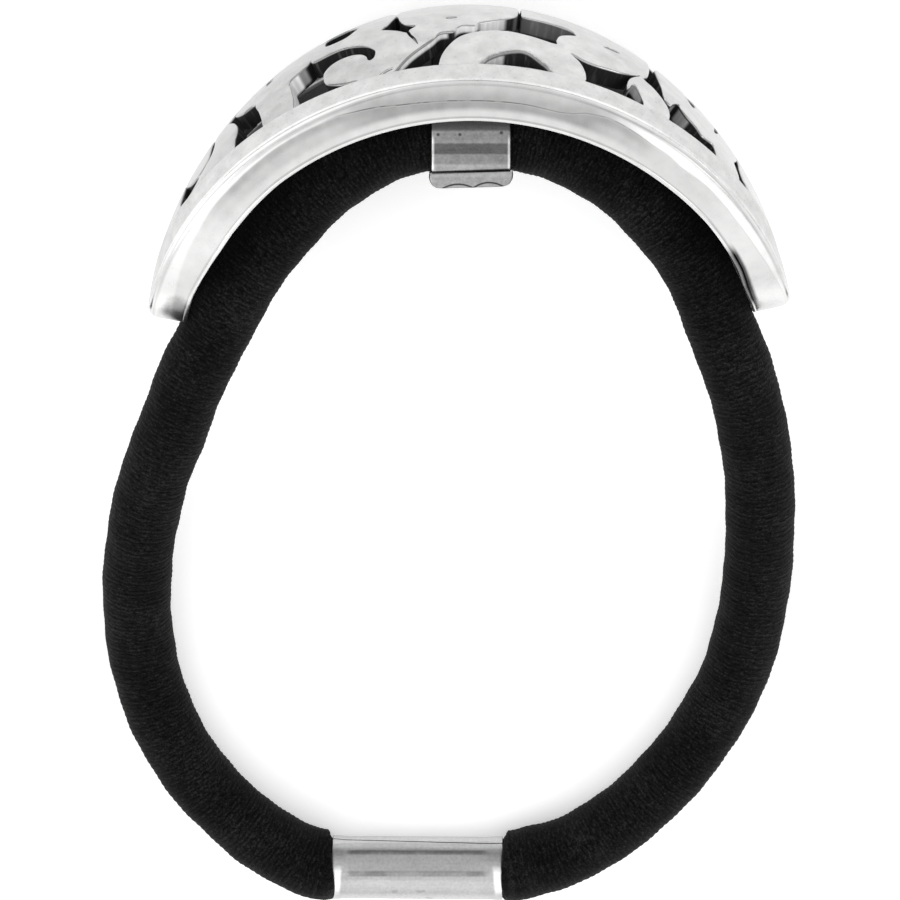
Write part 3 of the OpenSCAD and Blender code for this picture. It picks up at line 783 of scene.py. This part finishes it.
# The mesh closes along the underside
angle = turn + np.pi / 2
spoke = np.cos(angle)[:, None] * side_way[i] - np.sin(angle)[:, None] * up_way[i]
points = line[i] + radius[:, None] * spoke
points[:, 1] += swell[i]
place_vertices(elastic.data, MM * points)
put_attribute(elastic.data, "relief", relief)
put_attribute(elastic.data, "along", s[i])
put_attribute(elastic.data, "round", q * 2 * np.pi * elastic_r)
bpy.ops.object.mode_set(mode="EDIT")
bpy.ops.mesh.select_mode(type="VERT")
bpy.ops.mesh.select_all(action="SELECT")
bpy.ops.mesh.remove_doubles(threshold=1e-6)
bpy.ops.mesh.select_all(action="DESELECT")
bpy.ops.mesh.select_non_manifold()
bpy.ops.mesh.edge_face_add()
bpy.ops.object.mode_set(mode="OBJECT")
face_outwards()

yarn, shader, coords = new_material("black_yarn")
relief_in, along_in, round_in = (coords.attribute(name) for name in ("relief", "along", "round"))
strand_place = coords.make("ShaderNodeCombineXYZ", {}, {0: along_in * 4.2, 1: round_in * 1.5})
strands, fuzz, patch = strand_place.noise(1, 3), coords.noise(6500, 3), coords.noise(220, 2)
# Wandering dark lines run across between the ribs, one for each strand of the yarn, as painted shade in the
# gaps between strands
strand_pitch = 0.36
lines = along_in * (2 * math.pi / strand_pitch) + strands * 13 + patch * 12
lines = lines.math("SINE", lines) * 0.5 + 0.5
# Painted shade: the ribs' crests are lighter than the gaps between them, over the yarn's own mottling
shade = relief_in * 0.2 + lines * 0.24 + strands.between(0.33, 0.55) * 0.3
shade = shade + (fuzz - 0.5) * 1.5 + (patch - 0.5) * 0.6
stops = [(0.1, 0.0004), (0.5, 0.005), (0.95, 0.022)]
colour = coords.make("ShaderNodeValToRGB", {"stops": stops}, {0: shade})
feed(shader, Base_Color=colour, Roughness=0.9, Normal=(fuzz + strands + lines * 0.7).bump(0.6, 0.00005),
     Sheen_Weight=0.05, Sheen_Roughness=0.5, Specular_IOR_Level=0.06)
finish_piece("elastic", yarn, 180, "elastic_loop")

# Sleeve
# Steel sheet rolled to a tube over the elastic's two ends, with its seam at the side, and pressed to a flat
# on top so that it grips. Its mouths stay round and flare a little.
seam_angle = math.radians(78)
seam_slant = 0.0165
seam_w, seam_depth = 0.11, 0.25
# The flat: where round the sleeve it is, how far out, and where along the sleeve it ends and fades
flat_angle, flat_share, flat_end, flat_fade = math.radians(31), 0.943, 6.4, 0.8
# The flat still bulges by this share. The section's points further in than outside_from aren't pressed
flat_bulge = 0.15
outside_from = 2.5
sleeve_r = 2.71
sleeve_sides = 120
# Section of its wall: along the sleeve from the middle, and radius
SLEEVE_SECTION = [
    (-7.40, 2.72), (-7.25, 2.78), (-6.95, 2.77), (-6.5, 2.73), (-6.0, 2.71), (-3.0, 2.71), (0.0, 2.71),
    (3.0, 2.71), (6.0, 2.71), (6.5, 2.73), (6.95, 2.77), (7.25, 2.78), (7.40, 2.72), (7.40, 2.40),
    (7.25, 2.20), (6.5, 2.15), (3.0, 2.15), (0.0, 2.15), (-3.0, 2.15), (-6.5, 2.15), (-7.25, 2.20),
    (-7.40, 2.40)]


def on_sleeve(x, y, z):
    """Points at x along the sleeve, y across it and z above its middle line."""
    way_x, way_y, _ = sleeve_way
    return sleeve_middle + np.stack([x * way_x - y * way_y, x * way_y + y * way_x, z], -1)


section = smooth_row(SLEEVE_SECTION, 2)
sleeve = ring_mesh(sleeve_sides, section)
angle = np.repeat(np.arange(sleeve_sides) * 2 * np.pi / sleeve_sides, len(section))
x = np.tile(section[:, 0], sleeve_sides)
r = np.tile(section[:, 1], sleeve_sides)
y, z = r * np.sin(angle), r * np.cos(angle)
pressed = np.clip((flat_end - abs(x)) / flat_fade, 0, 1)
pressed = pressed * pressed * (3 - 2 * pressed)
limit = r * (1 - (1 - flat_share) * pressed)
across = y * math.cos(flat_angle) - z * math.sin(flat_angle)
out = y * math.sin(flat_angle) + z * math.cos(flat_angle)
out = np.where((r > outside_from) & (out > limit), limit + (out - limit) * flat_bulge, out)
y = across * math.cos(flat_angle) + out * math.sin(flat_angle)
z = out * math.cos(flat_angle) - across * math.sin(flat_angle)
place_vertices(sleeve.data, on_sleeve(x, y, z))
face_outwards()
# The seam is a shallow groove along the whole sleeve, at a slight slant
bpy.ops.object.select_all(action="DESELECT")
bpy.ops.mesh.primitive_cube_add(size=1)
seam = bpy.context.object
for vertex in seam.data.vertices:
    x = vertex.co.x * 2 * sleeve_l
    out = sleeve_r - seam_depth + (vertex.co.z + 0.5)
    across = vertex.co.y * seam_w - x * seam_slant * 2
    vertex.co = on_sleeve(x, out * math.sin(seam_angle) + across * math.cos(seam_angle),
                          out * math.cos(seam_angle) - across * math.sin(seam_angle))
combine(sleeve, [seam], "DIFFERENCE")
for vertex in sleeve.data.vertices:
    vertex.co *= MM

steel, shader, coords = new_material("rolled_steel")
drawn = coords.make("ShaderNodeMapping", {}, {0: coords, "Scale": (40, 2200, 2200)})
streaks, cloud, grain = drawn.noise(1, 5), coords.noise(600, 4), coords.noise(4200, 3)
x_in, y_in, z_in = (coords.axis(axis) - float(sleeve_middle[axis]) for axis in range(3))
from_middle = x_in.distance()
# Painted shade along both bent edges of the flat, painted highlights on the flaring mouths, and scuffs on the
# near side
across = y_in * math.cos(flat_angle) - z_in * math.sin(flat_angle)
flat_edge_shade = (across.line(0.93, 0.3) + across.line(-0.93, 0.34)) * (1 - from_middle.between(5.6, 6.3))
flat_edge_shade = flat_edge_shade * z_in.between(0, 0.5) * (0.25 + 0.25 * cloud.between(0.35, 0.6))
mouth_highlights = (from_middle + y_in * 0.08).between(6.5, 6.75) * y_in.within(-1.9, -1.0, 0.6, 1.3)
scuffs = x_in.within(-3.4, -3.0, 1.2, 1.8) * (1 - y_in.between(-1.2, -1.0)) * z_in.between(0.8, 1.4)
scuffs = scuffs * cloud.between(0.55, 0.62) * 0.25
# Painted light: lighter towards -Y, and a thin painted highlight along the edge at +Y
grey = 0.33 + streaks * 0.16 + (1 - y_in.between(-0.7, 0.3)) * 0.1 + y_in.between(2.6, 2.66) * 0.12
grey = grey + mouth_highlights * 0.4 + (cloud - 0.5) * 0.14 + (grain - 0.5) * 0.2
grey = grey * (1 - flat_edge_shade) * (1 - scuffs)
feed(shader, Base_Color=grey.colour(), Metallic=1.0, Roughness=0.3 + cloud * 0.15,
     Normal=(streaks + cloud * 0.5).bump(0.25, 0.00003))
finish_piece("sleeve", steel, 35, "sleeve")
